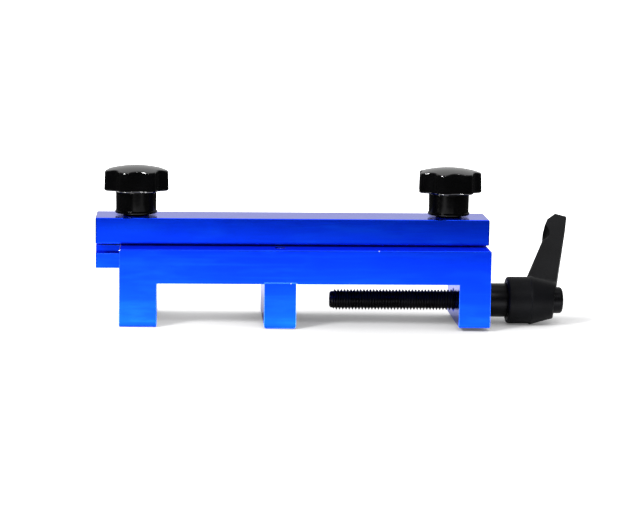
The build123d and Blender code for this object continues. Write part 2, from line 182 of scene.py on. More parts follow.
class Graph:
    """Short calls for writing the node tree of a material or world."""

    def __init__(self, owner, output="OutputMaterial", spare=(0.0,)):
        # spare: what maths nodes hold in their unread third input
        owner.use_nodes = True
        self.owner = owner
        self.tree = owner.node_tree
        self.spare = spare
        self.tree.nodes.clear()
        self.output = self.node(output)

    def put(self, socket, value):
        if isinstance(value, bpy.types.NodeSocket):
            self.tree.links.new(value, socket)
        else:
            socket.default_value = value

    def node(self, kind, **inputs):
        node = self.tree.nodes.new("ShaderNode" + kind)
        for key, value in inputs.items():
            self.put(node.inputs[key.replace("_", " ")], value)
        return node

    def source(self, kind, output, **inputs):
        return self.node(kind, **inputs).outputs[output]

    def fill(self, node, *values):
        for socket, value in zip(node.inputs, values):
            self.put(socket, value)
        return node

    def math(self, operation, a, b=0.0):
        node = self.node("Math")
        node.operation = operation
        return self.fill(node, a, b, *self.spare).outputs[0]

    def add(self, value, other):
        return self.math("ADD", value, other)

    def times(self, value, by):
        return self.math("MULTIPLY", value, by)

    def largest(self, value, other):
        return self.math("MAXIMUM", value, other)

    def vector_math(self, operation, a, b):
        node = self.node("VectorMath")
        node.operation = operation
        return self.fill(node, a, b).outputs["Value"]

    def remap(self, value, frm, to=(0.0, 1.0), smooth=False):
        node = self.node("MapRange")
        if smooth:
            node.interpolation_type = "SMOOTHSTEP"
        return self.fill(node, value, *frm, *to).outputs[0]

    def band(self, value, rise, fall):
        """1 between rise and fall, 0 outside."""
        return self.times(self.remap(value, frm=rise), self.remap(value, frm=fall, to=FADE_OUT))

    def split(self, kind, output):
        """The x, y and z sockets of a vector that a node gives."""
        return self.source("SeparateXYZ", slice(None), Vector=self.source(kind, output))

    def coords(self, scale=(1, 1, 1)):
        return self.source("Mapping", 0, Vector=self.source("TexCoord", "Object"), Scale=scale)

    def noise(self, vector, scale, detail=4.0, rough=0.55, distort=0.0):
        return self.source("TexNoise", "Fac", Vector=vector, Scale=scale, Detail=detail,
                           Roughness=rough, Distortion=distort)

    def mix(self, fac, low, high):
        """Colour from low at fac 0 to high at fac 1."""
        node = self.node("Mix")
        node.data_type = "RGBA"
        for index, value in ((0, fac), (6, low), (7, high)):
            self.put(node.inputs[index], value)
        return node.outputs[2]

    def mix_shader(self, fac, low, high):
        return self.fill(self.node("MixShader"), fac, low, high).outputs[0]

    def bump(self, strength, distance, height):
        return self.source("Bump", 0, Strength=strength, Distance=distance, Height=height)

    def spot(self, centre_mm, radius_mm):
        """1 at a place on the object, fading to 0 at a radius around it."""
        distance = self.vector_math("DISTANCE", self.source("TexCoord", "Object"),
                                    [c * MM for c in centre_mm])
        return self.remap(distance, frm=(0.0, radius_mm * MM), to=FADE_OUT)

    def edges(self, radius_mm):
        """Above 0 on sharp edges: how far a rounded normal leans from the true one."""
        bevel = self.node("Bevel", Radius=radius_mm * MM)
        bevel.samples = 6
        dot = self.vector_math("DOT_PRODUCT", bevel.outputs[0],
                               self.source("NewGeometry", "Normal"))
        return self.math("SUBTRACT", 1.0, dot)

    def principled(self, **inputs):
        return self.source("BsdfPrincipled", 0, **inputs)

    def finish(self, shader):
        self.put(self.output.inputs["Surface"], shader)
        return self.owner


def new_material(name):
    return Graph(bpy.data.materials.new(name))


# ---------------------------------------------------------------- materials
# heights in metres that the blue material shades by
BASE_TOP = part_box("base_body")[1].z + 0.0004
BAR_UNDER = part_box("clamp_bar")[0].z

# places where the blue coating is broken: centre (mm), radius (mm), strength
BARE_SPOTS = (
    ((-60.2, -18.9, 29.5), 0.5, 1.0), ((-0.9, -12.7, 29.66), 1.3, 0.9),
    ((1.4, -11.2, 29.66), 1.2, 0.9), ((-11.3, -9.9, 29.66), 0.45, 0.7),
    ((4.0, -19.0, 17.1), 0.4, 0.55), ((6.2, -19.0, 16.9), 0.35, 0.5),
    ((37.0, -18.9, 29.5), 0.4, 0.8),
)


def blue_colour(mat, plain, streak):
    """Uneven blue with a pale veil, a painted highlight along the edges and bare chips."""
    cloud = mat.noise(plain, scale=28.0, detail=3.0, rough=0.5)
    tone = mat.add(mat.times(cloud, by=0.55), mat.times(streak, by=0.45))
    colour = mat.mix(mat.remap(tone, frm=(0.36, 0.64)),
                     low=(0.0012, 0.034, 0.86, 1), high=(0.0012, 0.048, 0.99, 1))
    smudge = mat.noise(mat.coords(scale=(30, 110, 150)), scale=1.0, detail=6.0, rough=0.62,
                       distort=0.3)
    haze = mat.noise(mat.coords(scale=(22, 700, 900)), scale=1.0, rough=0.6)
    veil = mat.add(mat.remap(smudge, frm=(0.50, 0.72), to=(0.0, 0.5)),
                   mat.remap(haze, frm=(0.55, 0.75), to=(0.0, 0.35)))
    colour = mat.mix(veil, low=colour, high=(0.004, 0.085, 1.0, 1))
    lean = mat.edges(radius_mm=0.34)
    chip_noise = mat.noise(plain, scale=900.0, detail=3.0, rough=0.7)
    chips = mat.times(mat.remap(lean, frm=(0.08, 0.2)), mat.remap(chip_noise, frm=(0.68, 0.74)))
    wear = mat.times(chips, by=0.6)
    # painted highlight: the blue is lightened along the edges as if they caught the light
    colour = mat.mix(mat.remap(lean, frm=(0.01, 0.10), to=(0.0, 0.8)),
                     low=colour, high=(0.08, 0.34, 1.0, 1))
    for centre, radius, strength in BARE_SPOTS:
        ball = mat.spot(centre, radius)
        ragged = mat.remap(mat.add(ball, mat.times(chip_noise, by=0.9)),
                           frm=(0.78, 0.95), to=(0.0, strength))
        wear = mat.largest(wear, mat.times(ragged, mat.remap(ball, frm=(0.0, 0.15))))
    return mat.mix(wear, low=colour, high=(0.62, 0.68, 0.86, 1))


def blue_shade(mat):
    """How far each place lies in shade: slots, gaps and the faces around the bar."""
    occlusion = mat.node("AmbientOcclusion", Distance=2.2 * MM)
    occlusion.samples = 8
    hidden = mat.remap(occlusion.outputs["AO"], frm=(0.2, 0.7), to=(0.42, 0.0), smooth=True)
    normal_z = mat.split("NewGeometry", "Normal")[2]
    _, y, z = mat.split("TexCoord", "Object")
    facing = mat.source("LayerWeight", "Facing", Blend=0.5)
    # the base's top, seen at a low angle, mirrors the bar's shaded lower edge
    strip = mat.times(mat.remap(normal_z, frm=(0.96, 0.99), to=(0.0, 0.9)),
                      mat.remap(facing, frm=(0.6, 0.8)))
    strip = mat.times(strip, mat.remap(z, frm=(BASE_TOP - 0.0003, BASE_TOP + 0.0003),
                                       to=FADE_OUT))
    under = mat.times(mat.remap(normal_z, frm=(-0.3, -0.5), to=(0.0, 0.8)),
                      mat.band(z, rise=(BAR_UNDER - 0.0003, BAR_UNDER - 0.0001),
                               fall=(BAR_UNDER + 0.0006, BAR_UNDER + 0.0008)))
    # the slide's neck stands back between its foot and the bar
    neck = mat.times(mat.remap(mat.math("ABSOLUTE", y), frm=(0.0041, 0.0043), to=(0.62, 0.0)),
                     mat.band(z, rise=(0.0262, 0.0266), fall=(0.0294, 0.0297)))
    return mat.largest(mat.largest(hidden, under), mat.largest(strip, neck))


def anodised_blue():
    mat = new_material("anodised_blue")
    plain = mat.coords()
    # brushed along X
    streak = mat.noise(mat.coords(scale=(14, 420, 420)), scale=6.0, detail=6.0, rough=0.62)
    fine = mat.noise(mat.coords(scale=(60, 2600, 2600)), scale=3.0, detail=3.0, rough=0.6)
    mottled = mat.noise(plain, scale=160.0, rough=0.6)
    colour = blue_colour(mat, plain, streak)
    sheen = mat.add(mat.times(streak, by=0.6), mat.times(mottled, by=0.4))
    rough = mat.remap(sheen, frm=(0.35, 0.65), to=(0.11, 0.19))
    height = mat.add(mat.times(streak, by=0.6), mat.times(fine, by=0.5))
    bump = mat.bump(strength=0.12, distance=0.00003, height=height)
    metal = mat.principled(Base_Color=colour, Metallic=0.97, Roughness=rough, Normal=bump)
    # painted shade: a flat deep-blue diffuse is mixed in wherever blue_shade finds shade
    painted_shade = mat.source("BsdfDiffuse", 0, Color=(0.0012, 0.014, 0.70, 1))
    return mat.finish(mat.mix_shader(blue_shade(mat), low=metal, high=painted_shade))


def knob_black():
    mat = new_material("knob_black")
    plain = mat.coords()
    peel = mat.noise(plain, scale=420.0, detail=3.0, rough=0.5)
    dust = mat.noise(plain, scale=3800.0, detail=2.0, rough=0.6)
    smear = mat.noise(plain, scale=90.0, detail=5.0, rough=0.65, distort=0.6)
    colour = mat.mix(mat.remap(smear, frm=(0.4, 0.7)),
                     low=(0.0008, 0.0008, 0.0009, 1), high=(0.0018, 0.0018, 0.0020, 1))
    rough = mat.remap(smear, frm=(0.3, 0.7), to=(0.045, 0.09))
    bump = mat.bump(strength=0.10, distance=0.00004,
                    height=mat.add(peel, mat.times(dust, by=0.08)))
    # painted shade in reflections: the upright sides get a low specular level so they mirror dark,
    # while the rims and the dome get more and catch the light
    upright = mat.math("ABSOLUTE", mat.split("NewGeometry", "Normal")[2])
    turn = mat.remap(upright, frm=(0.08, 0.24))
    # below the head the level is cut further, so the fillets and the foot's flange stay dull, without
    # glints
    gain = mat.remap(mat.split("TexCoord", "Object")[2],
                     frm=(0.04990, 0.05005), to=(-0.17, 0.30))
    side_level = 0.20
    level = mat.add(side_level, mat.times(turn, gain))
    return mat.finish(mat.principled(Base_Color=colour, Roughness=rough, IOR=1.52,
                                     Specular_IOR_Level=level, Normal=bump))


def lever_coat():
    mat = new_material("lever_powder_coat")
    plain = mat.coords()
    grain = mat.noise(plain, scale=2600.0, detail=3.0, rough=0.6)
    patch = mat.noise(plain, scale=70.0, rough=0.6)
    # worn edges, and a painted highlight along the rolled edges, lighten the coat
    lighter_edges = mat.times(mat.remap(mat.edges(radius_mm=0.5), frm=(0.04, 0.22)),
                    mat.remap(patch, frm=(0.35, 0.62), to=(0.15, 0.8)))
    colour = mat.mix(mat.remap(patch, frm=(0.35, 0.65)),
                     low=(0.0020, 0.0021, 0.0029, 1), high=(0.0038, 0.0040, 0.0051, 1))
    colour = mat.mix(lighter_edges, low=colour, high=(0.045, 0.045, 0.05, 1))
    # the finger stops lie in their own shade
    dip = mat.largest(mat.spot(centre_mm=(106.9, 42.0, 31.0), radius_mm=7.5),
                      mat.spot(centre_mm=(106.9, 45.6, 22.2), radius_mm=7.5))
    normal_x = mat.split("NewGeometry", "Normal")[0]
    shaded = mat.times(mat.remap(dip, frm=(0.05, 0.25)),
                       mat.remap(normal_x, frm=(-0.16, -0.42), to=(0.0, 0.85)))
    colour = mat.mix(shaded, low=colour, high=(0.0004, 0.0004, 0.0005, 1))
    return mat.finish(mat.principled(
        Base_Color=colour, Roughness=mat.remap(grain, frm=(0.35, 0.65), to=(0.42, 0.56)),
        IOR=1.5, Specular_IOR_Level=mat.remap(shaded, frm=(0.0, 1.0), to=(0.085, 0.0)),
        Normal=mat.bump(strength=0.22, distance=0.00005, height=grain)))


def black_oxide():
    mat = new_material("black_oxide")
    plain = mat.coords()
    grain = mat.noise(plain, scale=1500.0, detail=3.0, rough=0.6)
    oil = mat.noise(plain, scale=130.0, rough=0.6, distort=0.4)
    lighter_edges = mat.times(mat.remap(mat.edges(radius_mm=0.12), frm=(0.05, 0.3)),
                    mat.remap(oil, frm=(0.42, 0.65), to=(0.0, 0.4)))
    colour = mat.mix(mat.remap(oil, frm=(0.35, 0.65)),
                     low=(0.0026, 0.0027, 0.0035, 1), high=(0.0062, 0.0062, 0.0076, 1))
    colour = mat.mix(lighter_edges, low=colour, high=(0.07, 0.07, 0.075, 1))
    return mat.finish(mat.principled(
        Base_Color=colour, Metallic=0.6, Specular_IOR_Level=0.2,
        Roughness=mat.remap(oil, frm=(0.35, 0.65), to=(0.26, 0.40)),
        Normal=mat.bump(strength=0.10, distance=0.00002, height=grain)))


def bright_steel():
    mat = new_material("zinc_plated_steel")
    plain = mat.coords()
    grain = mat.noise(plain, scale=1200.0, rough=0.6)
    bloom = mat.noise(plain, scale=220.0, rough=0.6, distort=0.5)
    colour = mat.mix(mat.remap(bloom, frm=(0.35, 0.65)),
                     low=(0.46, 0.47, 0.49, 1), high=(0.62, 0.62, 0.62, 1))
    return mat.finish(mat.principled(
        Base_Color=colour, Metallic=1.0,
        Roughness=mat.remap(grain, frm=(0.3, 0.7), to=(0.24, 0.4)),
        Normal=mat.bump(strength=0.08, distance=0.00002, height=grain)))


def spring_wire():
    mat = new_material("spring_wire")
    drawn = mat.noise(mat.coords(), scale=900.0, rough=0.6)
    colour = mat.mix(mat.remap(drawn, frm=(0.35, 0.65)),
                     low=(0.25, 0.25, 0.26, 1), high=(0.42, 0.42, 0.42, 1))
    return mat.finish(mat.principled(
        Base_Color=colour, Metallic=1.0,
        Roughness=mat.remap(drawn, frm=(0.3, 0.7), to=(0.28, 0.42)),
        Normal=mat.bump(strength=0.1, distance=0.00002, height=drawn)))


MATERIALS = {"blue_anodised": anodised_blue(), "knob_black": knob_black(),
             "lever_black": lever_coat(), "black_oxide": black_oxide(),
             "bright_steel": bright_steel(), "spring_steel": spring_wire()}


def dress(ob, slot):
    ob.data.materials.clear()
    ob.data.materials.append(MATERIALS[slot])


def stand_for(ob, node, body, slot):
    """Put a built piece in the place of a CAD node."""
    dress(ob, slot)
    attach(ob, body)
    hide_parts(node)


# ---------------------------------------------------------------- machined blanks (CAD meshes kept)
def soften(node, slot, width_mm):
    """Weld a CAD mesh and bevel its edges."""
    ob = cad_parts[node]
    dress(ob, slot)
    weld = ob.modifiers.new("weld", "WELD")
    weld.merge_threshold = 1e-6
    bevel = ob.modifiers.new("edge", "BEVEL")
    bevel.width = width_mm * MM
    bevel.segments = 2
    bevel.limit_method = "ANGLE"
    bevel.angle_limit = math.radians(25.0)
    bevel.harden_normals = False
    bevel.use_clamp_overlap = True


for blank in ("base_body", "jaw_block", "tee_slide", "clamp_bar"):
    soften(blank, "blue_anodised", width_mm=0.09)
soften("lever_insert", "black_oxide", width_mm=0.07)


# ---------------------------------------------------------------- lobed knobs
KNOB_R, LOBES, LOBE_R, HOLLOW_R = 12.45, 7, 3.3, 5.0
LOBE_STEPS = 48
NECK_H, HEAD_H, DOME_H = 8.6, 7.7, 1.7
DRAFT = math.tan(math.radians(1.8))
TOP_R_LOSS = DRAFT * HEAD_H
DOME_RIM_R = KNOB_R - TOP_R_LOSS - 0.55
DOME_SPHERE_R = (DOME_RIM_R ** 2 + DOME_H ** 2) / (2 * DOME_H)
STUD_HOLE_DEPTH = 8.0
# stud hole, end face and low flange, then the neck: radius, height above the knob's foot
KNOB_FOOT = [
    (2.5, STUD_HOLE_DEPTH), (2.5, 0.3), (2.8, 0.0), (4.2, 0.0),
    *arc(8.0 - 0.14, 0.14, 0.14, -90, 0, 3), *arc(8.0 - 0.12, 0.70, 0.12, 0, 75, 3),
    (7.70, 0.95), (7.65, 1.0), (7.652, 1.12), (7.67, 4.0)]
# the neck's top and its fillet into the head: radius, height from the head's underside
NECK_R, FILLET_R = 7.71, 0.6
NECK_TOP = [(7.705, -0.9), (NECK_R, -0.64)] + [
    (NECK_R + FILLET_R * (1 - math.cos(math.radians(a))),
     -FILLET_R + FILLET_R * math.sin(math.radians(a))) for a in (0, 22.5, 45, 67.5, 90)]
UNDERSIDE_R = 9.2
LOWER_RIM_R, UPPER_RIM_R = 0.56, 0.62
RIM_END_ANGLE = 72
FLANK_SHARES = (0.02, 0.2, 0.4, 0.6, 0.8, 0.98)
DOME_SHARES = (0.993, 0.975, 0.95, 0.91, 0.86, 0.79, 0.7, 0.6, 0.5, 0.4, 0.3, 0.2, 0.12, 0.05)


def lobed_radius(angle, drawn_in):
    """Radius of the head's outline, drawn_in inside it; angle 0 is the middle of a hollow."""
    pitch = 2 * math.pi / LOBES
    lobe_at = KNOB_R - LOBE_R
    lobe_x, lobe_y = lobe_at * math.cos(pitch / 2), lobe_at * math.sin(pitch / 2)
    hollow_at = lobe_x + math.sqrt((LOBE_R + HOLLOW_R) ** 2 - lobe_y ** 2)
    share = (LOBE_R - drawn_in) / (LOBE_R + HOLLOW_R)
    touch_x, touch_y = lobe_x + (hollow_at - lobe_x) * share, lobe_y - lobe_y * share
    from_hollow = abs((angle + pitch / 2) % pitch - pitch / 2)
    if from_hollow < math.atan2(touch_y, touch_x):
        return hollow_at * math.cos(from_hollow) - math.sqrt(
            (HOLLOW_R + drawn_in) ** 2 - (hollow_at * math.sin(from_hollow)) ** 2)
    from_lobe = pitch / 2 - from_hollow
    return lobe_at * math.cos(from_lobe) + math.sqrt(
        (LOBE_R - drawn_in) ** 2 - (lobe_at * math.sin(from_lobe)) ** 2)


def knob(side, turn_deg):
    box = box_mm("knob_" + side)
    centre_x, centre_y, _ = box_mm("knob_stud_" + side).centre
    foot, top = box.lo.z, box.hi.z
    head = foot + NECK_H * (top - foot) / (NECK_H + HEAD_H + DOME_H)
    theta = circle_angles(LOBES * LOBE_STEPS)
    start = -math.pi / 2 + math.radians(turn_deg)
    rings = []

    def ring(radii, heights):
        rings.append([(centre_x + r * math.cos(start + t), centre_y + r * math.sin(start + t), z)
                      for r, t, z in zip(radii, theta, heights)])

    def level_ring(radii, z):
        ring(radii, [z] * len(theta))

    def outline(drawn_in):
        return [lobed_radius(t, drawn_in) for t in theta]

    def dome_z(r):
        return top - (DOME_SPHERE_R - math.sqrt(DOME_SPHERE_R ** 2 - r ** 2))

    for r, h in KNOB_FOOT:
        level_ring([r] * len(theta), foot + h)
    for r, h in NECK_TOP + [(UNDERSIDE_R, 0.0)]:
        level_ring([r] * len(theta), head + h)
    for degrees in range(0, 91, 15):
        a = math.radians(degrees)
        level_ring(outline(LOWER_RIM_R * (1 - math.sin(a))), head + LOWER_RIM_R * (1 - math.cos(a)))
    # the flank ends where the upper rim, which follows the dome, begins
    rim_end = math.radians(RIM_END_ANGLE)
    edge = outline(TOP_R_LOSS + UPPER_RIM_R * (1 - math.cos(rim_end)))
    flank_top = [dome_z(r) - UPPER_RIM_R * math.sin(rim_end) for r in edge]
    flank_foot = head + LOWER_RIM_R
    for share in FLANK_SHARES:
        heights = [flank_foot + (z - flank_foot) * share for z in flank_top]
        ring([lobed_radius(t, DRAFT * (z - head)) for t, z in zip(theta, heights)], heights)
    for degrees in range(0, RIM_END_ANGLE + 1, 12):
        a = math.radians(degrees)
        ring(outline(TOP_R_LOSS + UPPER_RIM_R * (1 - math.cos(a))),
             [z + UPPER_RIM_R * math.sin(a) for z in flank_top])
    # the dome's rings turn from lobed to round towards the middle
    for share in DOME_SHARES:
        lobed = max(0.0, min(1.0, (share - 0.35) / 0.6))
        radii = [share * (lobed * e + (1 - lobed) * DOME_RIM_R) for e in edge]
        ring(radii, [dome_z(r) for r in radii])
    verts, faces = rings_mesh(rings, (centre_x, centre_y, foot + STUD_HOLE_DEPTH),
                              (centre_x, centre_y, top))
    ob = make_object(f"knob_{side}_moulding", verts, faces)
    ob.data.set_sharp_from_angle(angle=math.radians(50))
    stand_for(ob, "knob_" + side, side + "_knob", "knob_black")


knob("left", turn_deg=3.9)
knob("right", turn_deg=7.3)


# ---------------------------------------------------------------- threaded rods
def threaded_rod(name, length, pitch, crest_r, root_r, segments, envelope):
    """A right-hand thread along +X from 0 to length, trimmed to an envelope of (radius, x)."""
    # one turn of the thread: share of the pitch, radius
    profile = [(0.0, root_r), (0.09, root_r + 0.01), (0.14, root_r + 0.05),
               (0.42, crest_r - 0.035), (0.45, crest_r), (0.55, crest_r),
               (0.58, crest_r - 0.035), (0.86, root_r + 0.05), (0.91, root_r + 0.01)]
    per_turn = len(profile)
    turns = int(math.ceil(length / pitch)) + 4
    rows = turns * per_turn
    start_x = -2 * pitch
    verts = []
    for i in range(rows + 1):
        turn, j = divmod(i, per_turn)
        share, r = profile[j]
        for k, a in enumerate(circle_angles(segments)):
            verts.append((start_x + pitch * (turn + share + k / segments),
                          r * math.cos(a), r * math.sin(a)))
    faces = []
    last = segments - 1
    for i in range(rows):
        row, following = i * segments, (i + 1) * segments
        for k in range(last):
            faces.append((row + k, row + k + 1, following + k + 1, following + k))
        # the seam joins each row to the one a turn further on
        if i + per_turn + 1 <= rows:
            faces.append((row + last, (i + per_turn) * segments,
                          (i + per_turn + 1) * segments, following + last))
    first_loop = list(range(segments)) + [i * segments for i in range(per_turn, 0, -1)]
    last_loop = [rows * segments + k for k in range(segments)]
    last_loop += [i * segments + last for i in range(rows - 1, rows - per_turn - 1, -1)]
    for loop, x in ((first_loop, start_x - pitch * 0.2),
                    (last_loop, start_x + pitch * (turns + 1.2))):
        pole = len(verts)
        verts.append((x, 0, 0))
        faces += [(pole, a, b) for a, b in zip(loop, loop[1:] + loop[:1])]
    rod = make_object(name + "_raw", verts, faces)
    trim = make_object(name + "_env", *lathe(envelope, "x", (0.0, 0.0, 0.0)))
    return boolean(rod, [trim], "INTERSECT", name, sharp_angle=38.0)


def move_mesh(ob, to_mm, turn=Matrix.Identity(4)):
    ob.data.transform(Matrix.Translation([c * MM for c in to_mm]) @ turn)
    ob.data.update()


def clamp_screw():
    """The -X tip is turned down and centre-drilled."""
    length = SCREW.hi.x - SCREW.lo.x
    radius = SCREW.size.z / 2
    # radius, x from the tip
    envelope = [(0.0, 1.0), (0.55, 0.9), (0.85, 0.35), (1.0, 0.0), (2.5, 0.0), (2.62, 0.05),
                (3.15, 0.5), (3.2, 0.6), (3.2, 1.25), (3.28, 1.35), (radius - 0.05, 2.1),
                (radius, 2.25), (radius, length - 0.4), (radius - 0.4, length), (0.0, length)]
    ob = threaded_rod("clamp_screw_thread", length, pitch=1.25, crest_r=radius, root_r=3.24,
                      segments=72, envelope=envelope)
    move_mesh(ob, (SCREW.lo.x, AXIS_Y, AXIS_Z))
    stand_for(ob, "clamp_screw", "clamp_spindle", "black_oxide")


def knob_stud(side):
    box = box_mm("knob_stud_" + side)
    length, radius = box.size.z, box.size.x / 2
    envelope = [(0.0, 0.0), (radius - 0.55, 0.0), (radius - 0.45, 0.06), (radius, 0.55),
                (radius, length), (0.0, length)]
    ob = threaded_rod("knob_stud_thread_" + side, length, pitch=0.8, crest_r=radius,
                      root_r=radius - 0.47, segments=48, envelope=envelope)
    # +X of the rod becomes +Z, and a right-hand thread stays right-handed
    turn = Matrix(((0, 0, -1, 0), (0, 1, 0, 0), (1, 0, 0, 0), (0, 0, 0, 1)))
    move_mesh(ob, (box.centre.x, box.centre.y, box.lo.z), turn)
    stand_for(ob, "knob_stud_" + side, side + "_knob", "bright_steel")


clamp_screw()
for side in SIDES:
    knob_stud(side)


# ---------------------------------------------------------------- springs and washers
WIRE_SEGMENTS, COIL_STEPS = 14, 36
DEAD_TURNS = 0.8     # close turns at each end
DEAD_PITCH = 1.02    # their pitch, as a share of the wire's diameter


def coil(name, mean_r, wire, turns, length, along, at):
    """A spring whose end turns lie close, with the wire ground flat at both ends."""
    steps = int(turns * COIL_STEPS)
    first, last = 0.25 * wire, length - 0.25 * wire
    dead_rise = DEAD_TURNS * wire * DEAD_PITCH
    live_rise = (last - first) - 2 * dead_rise

    def height(turn):
        if turn < DEAD_TURNS:
            return first + wire * DEAD_PITCH * turn
        if turn > turns - DEAD_TURNS:
            return last - wire * DEAD_PITCH * (turns - turn)
        return first + dead_rise + live_rise * (turn - DEAD_TURNS) / (turns - 2 * DEAD_TURNS)

    rings = []
    for step in range(steps + 1):
        turn = turns * step / steps
        a = 2 * math.pi * turn
        ring = []
        for b in circle_angles(WIRE_SEGMENTS):
            r = mean_r + wire / 2 * math.cos(b)
            h = min(max(height(turn) + wire / 2 * math.sin(b), 0.0), length)
            ring.append(on_axis(at, along, r * math.cos(a), r * math.sin(a), h))
        rings.append(ring)
    poles = [tuple(sum(c) / len(ring) for c in zip(*ring)) for ring in (rings[0], rings[-1])]
    return make_object(name, *rings_mesh(rings, *poles), sharp_angle=45)


def lift_spring(side):
    box = box_mm("lift_spring_" + side)
    # short at the end hidden in the bar's pocket, so the bar can go down onto it
    hidden_gap = 0.8
    ob = coil("lift_spring_coil_" + side, mean_r=3.3, wire=0.78, turns=5.0,
              length=box.size.z - hidden_gap, along="z", at=(*box.centre[:2], box.lo.z))
    stand_for(ob, "lift_spring_" + side, "slide", "spring_steel")


def washer(side):
    box = box_mm("washer_" + side)
    radius, thick = box.size.x / 2, box.size.z
    hole_r, chamfer, rim = 2.7, 0.12, 0.14
    profile = [(hole_r, chamfer), (hole_r + chamfer, 0.0),
               *arc(radius - rim, rim, rim, -90, 0, 4), *arc(radius - rim, thick - rim, rim, 0, 90, 4),
               (hole_r + chamfer, thick), (hole_r, thick - chamfer), (hole_r, chamfer)]
    verts, faces = lathe(profile, "z", (*box.centre[:2], box.lo.z))
    ob = make_object("washer_ring_" + side, verts, faces, sharp_angle=30)
    stand_for(ob, "washer_" + side, "bar", "black_oxide")


def lever_spring():
    box = box_mm("lever_spring")
    length = box.size.x
    ob = coil("lever_spring_coil", mean_r=4.0, wire=0.68, turns=4.2, length=length,
              along="x", at=(box.lo.x, *box.centre[1:]))
    stand_for(ob, "lever_spring", "clamp_spindle", "spring_steel")
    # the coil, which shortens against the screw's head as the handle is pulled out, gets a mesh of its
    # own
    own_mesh(ob)


for side in SIDES:
    lift_spring(side)
    washer(side)
lever_spring()


# ---------------------------------------------------------------- socket screws
KNURL_LOW, KNURL_HIGH, KNURL_COUNT, KNURL_DEPTH = 0.45, 3.6, 36, 0.09


def socket_screw(name, outline, segments, at, along, hex_r, socket_top, socket_depth,
                 inward=1, knurled=False):
    """A turned screw with a hexagon socket of inscribed radius hex_r sunk in its head.

    outline is (radius, depth) from the socket's rim outwards; inward is the sign of depth.
    """
    angles = circle_angles(segments)
    rings = []

    def place(x, y, depth):
        return on_axis(at, along, x, y, inward * depth)

    def hex_radius(t):
        return hex_r / math.cos((t + math.pi / 6) % (math.pi / 3) - math.pi / 6)

    floor = socket_top + socket_depth
    for share, depth in ((0.35, floor + 0.35), (0.96, floor), (1.0, floor - 0.08),
                         (1.0, socket_top + 0.14), (1.05, socket_top + 0.03)):
        rings.append([place(hex_radius(t) * share * math.cos(t),
                            hex_radius(t) * share * math.sin(t), depth) for t in angles])
    for radius, depth in outline:
        ring = []
        for t in angles:
            r = radius
            if knurled and KNURL_LOW <= depth <= KNURL_HIGH:
                r -= KNURL_DEPTH * (0.5 + 0.5 * math.cos(t * KNURL_COUNT))
            ring.append(place(r * math.cos(t), r * math.sin(t), depth))
        rings.append(ring)
    verts, faces = rings_mesh(rings, place(0, 0, floor + 0.6), place(0, 0, outline[-1][1]))
    return make_object(name, verts, faces, sharp_angle=30)


def retaining_screw():
    """A domed head that stands out of the +X end of the lever's hub."""
    box = box_mm("lever_retaining_screw")
    head_r = box.size.z / 2
    total = box.hi.x - box.lo.x
    head_len = box.hi.x - 105.0
    shank_r, rim_r, corner = 2.49, 2.75, 1.15
    face_r = head_r - corner
    # the face falls away slightly from the socket's rim
    outline = [(rim_r + (face_r - rim_r) * (i / 8),
                0.04 + 0.279 * (1 - math.cos(math.radians(i * 10)))) for i in range(9)]
    corner_top = outline[-1][1]
    outline += [(face_r + corner * math.sin(a), corner_top + corner * (1 - math.cos(a)))
                for a in map(math.radians, (12, 25, 38, 52, 66, 80, 90))]
    outline += [(head_r, head_len - 0.12), (head_r - 0.12, head_len), (2.6, head_len),
                (shank_r, head_len + 0.1), (shank_r, total - 0.4), (2.1, total)]
    ob = socket_screw("lever_retaining_screw_head", outline, segments=96,
                      at=(box.hi.x, *box.centre[1:]), along="x", hex_r=2.0,
                      socket_top=0.04, socket_depth=2.4, inward=-1)
    stand_for(ob, "lever_retaining_screw", "clamp_spindle", "black_oxide")


def jaw_block_screw(side):
    """A knurled socket head facing down, with the shank above it."""
    node = "jaw_block_screw_" + side
    box = box_mm(node)
    radius, height = box.size.x / 2, box.size.z
    corner, shank_r = 0.3, 1.95
    outline = [(radius - 0.55, 0.0)]
    outline += [(radius - corner + corner * math.sin(a), corner - corner * math.cos(a))
                for a in map(math.radians, (10, 30, 50, 70, 90))]
    outline += [(radius, h) for h in (0.5, 1.2, 2.0, 2.8, 3.5)]
    outline += [(radius - 0.12, 3.9), (radius - 0.2, 4.0), (2.15, 4.0), (shank_r, 4.2),
                (shank_r, height - 0.45), (1.5, height), (0.5, height)]
    ob = socket_screw(node + "_turned", outline, segments=144,
                      at=(*box.centre[:2], box.lo.z), along="z", hex_r=1.5,
                      socket_top=0.0, socket_depth=2.0, knurled=True)
    stand_for(ob, node, "bridge", "bright_steel")


retaining_screw()
for side in ("front", "rear"):
    jaw_block_screw(side)


# ---------------------------------------------------------------- lever handle
def poly_distance(px, py, poly):
    """Signed distance from arrays of points to a closed polygon, negative inside."""
    nearest = np.full(px.shape, 1e12)
    inside = np.zeros(px.shape, bool)
    for (ax, ay), (bx, by) in zip(poly, poly[1:] + poly[:1]):
        ex, ey = bx - ax, by - ay
        wx, wy = px - ax, py - ay
        t = np.clip((wx * ex + wy * ey) / (ex * ex + ey * ey), 0, 1)
        dx, dy = wx - ex * t, wy - ey * t
        nearest = np.minimum(nearest, dx * dx + dy * dy)
        rise = (by - ay) if by != ay else 1e-12
        inside ^= ((ay > py) != (by > py)) & (px < (bx - ax) * (py - ay) / rise + ax)
    distance = np.sqrt(nearest)
    return np.where(inside, -distance, distance)


